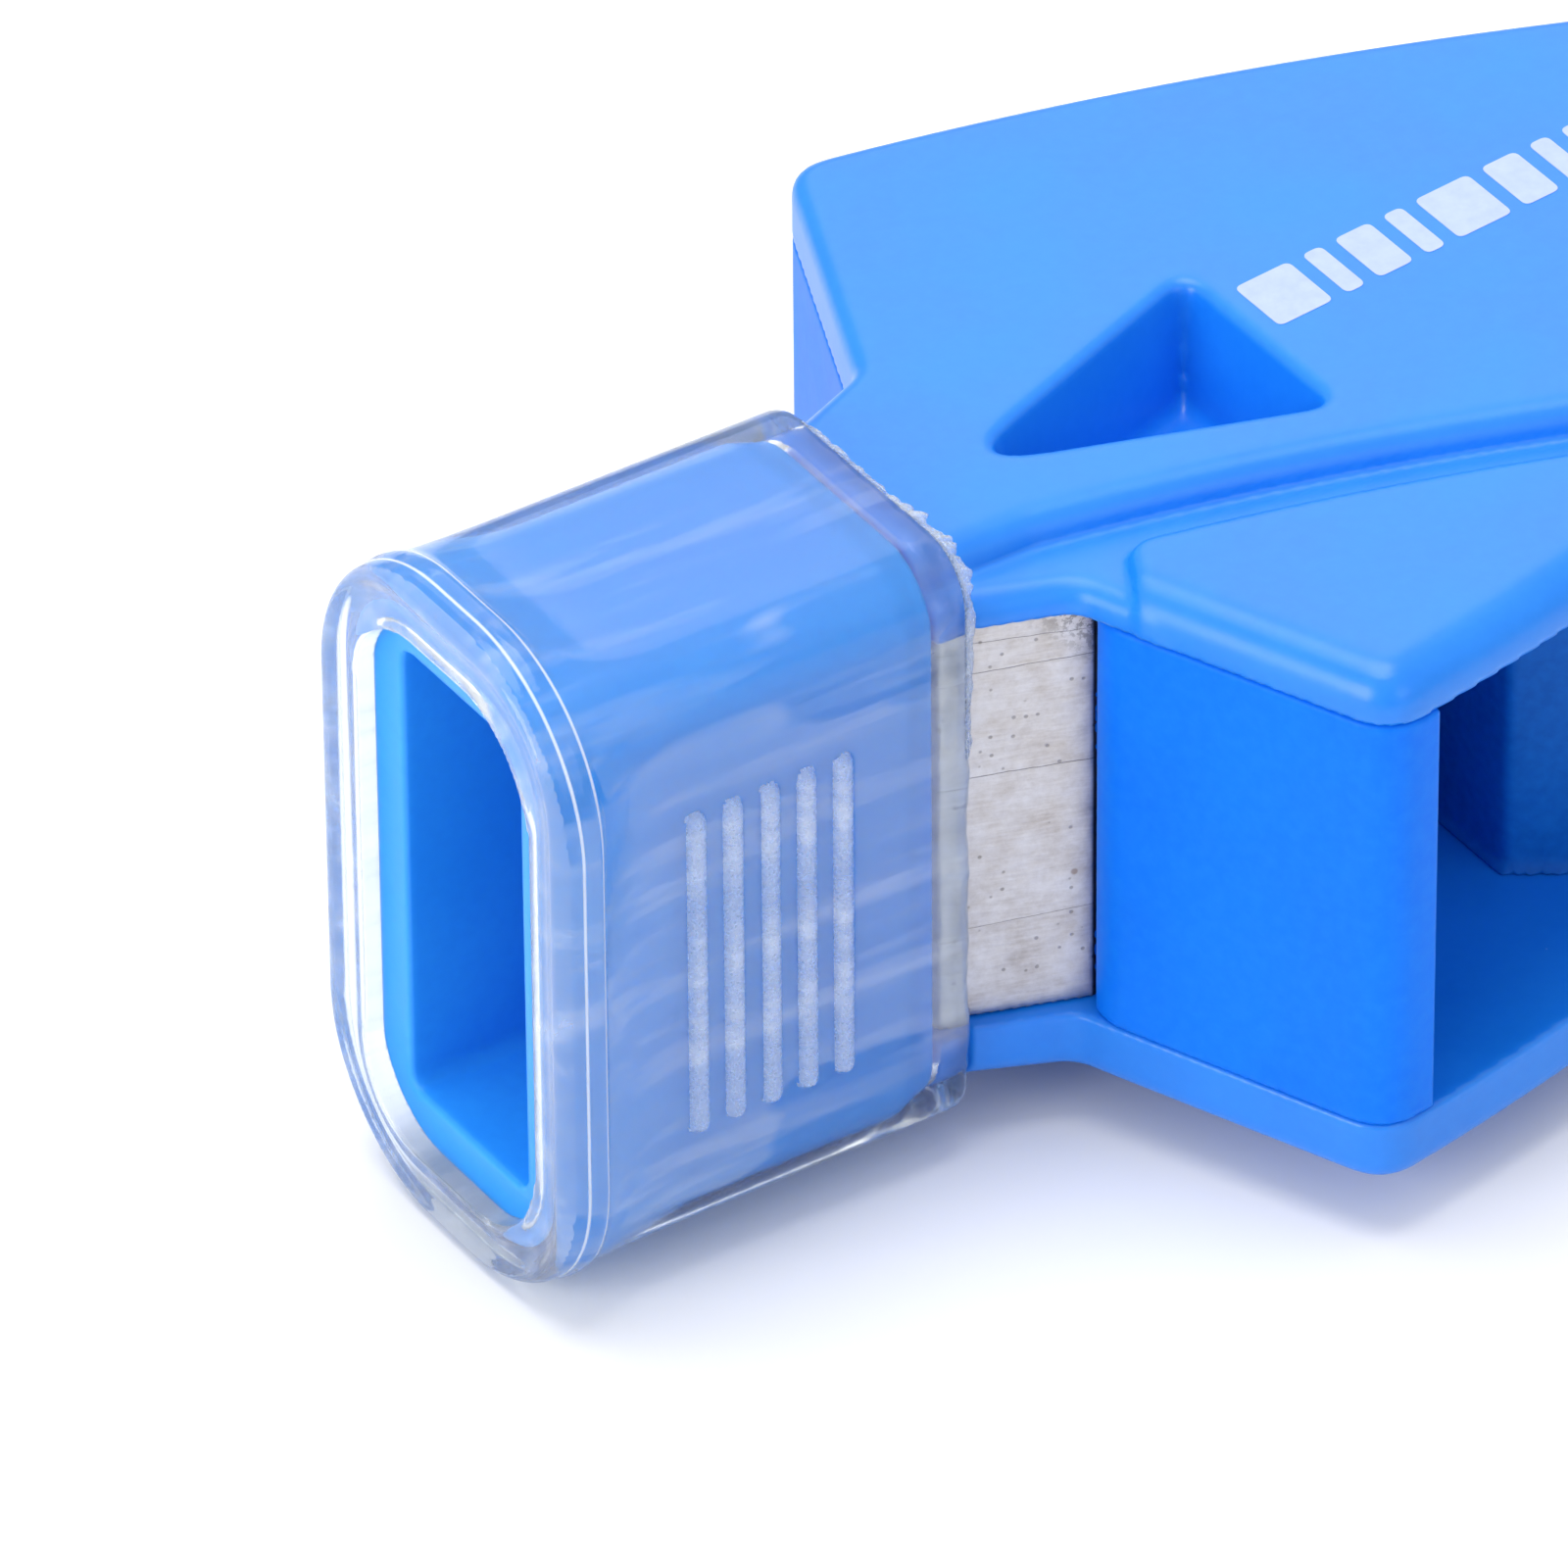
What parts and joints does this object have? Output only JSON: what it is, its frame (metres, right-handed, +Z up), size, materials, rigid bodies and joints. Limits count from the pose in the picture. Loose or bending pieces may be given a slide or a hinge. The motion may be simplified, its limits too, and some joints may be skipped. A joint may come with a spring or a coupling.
{
  "type": "safety whistle",
  "caption": "Flat pealess whistle with a side-opening horn on each flank, steel side plates in the neck and a pull-off silicone mouth grip.",
  "frame": {"origin": "under the middle of the whistle, at the lowest point of the mouth grip's rim", "axes": "+X from the mouth to the tail, +Z up through the plate with the printed mark, +Y to the far horn"},
  "size_m": [0.0536, 0.0296, 0.0218],
  "materials": {
    "blue_plastic": "smooth moulded ABS, satin gloss",
    "steel": "thin rolled stainless sheet, lightly scratched",
    "silicone": "milky translucent silicone"
  },
  "bodies": {
    "whistle_body": {"top_shell": "blue_plastic", "bottom_shell": "blue_plastic", "mouthpiece_tube": "blue_plastic", "near_horn_wall": "blue_plastic", "far_horn_wall": "blue_plastic", "rear_core": "blue_plastic", "near_steel_plate": "steel", "far_steel_plate": "steel"},
    "mouth_grip": {"mouth_grip": "silicone"}
  },
  "joints": [
    {"name": "grip_pull_off", "type": "slide", "parent": "whistle_body", "child": "mouth_grip", "axis": [-1, 0, 0], "range_m": [0, 0.02]}
  ]
}
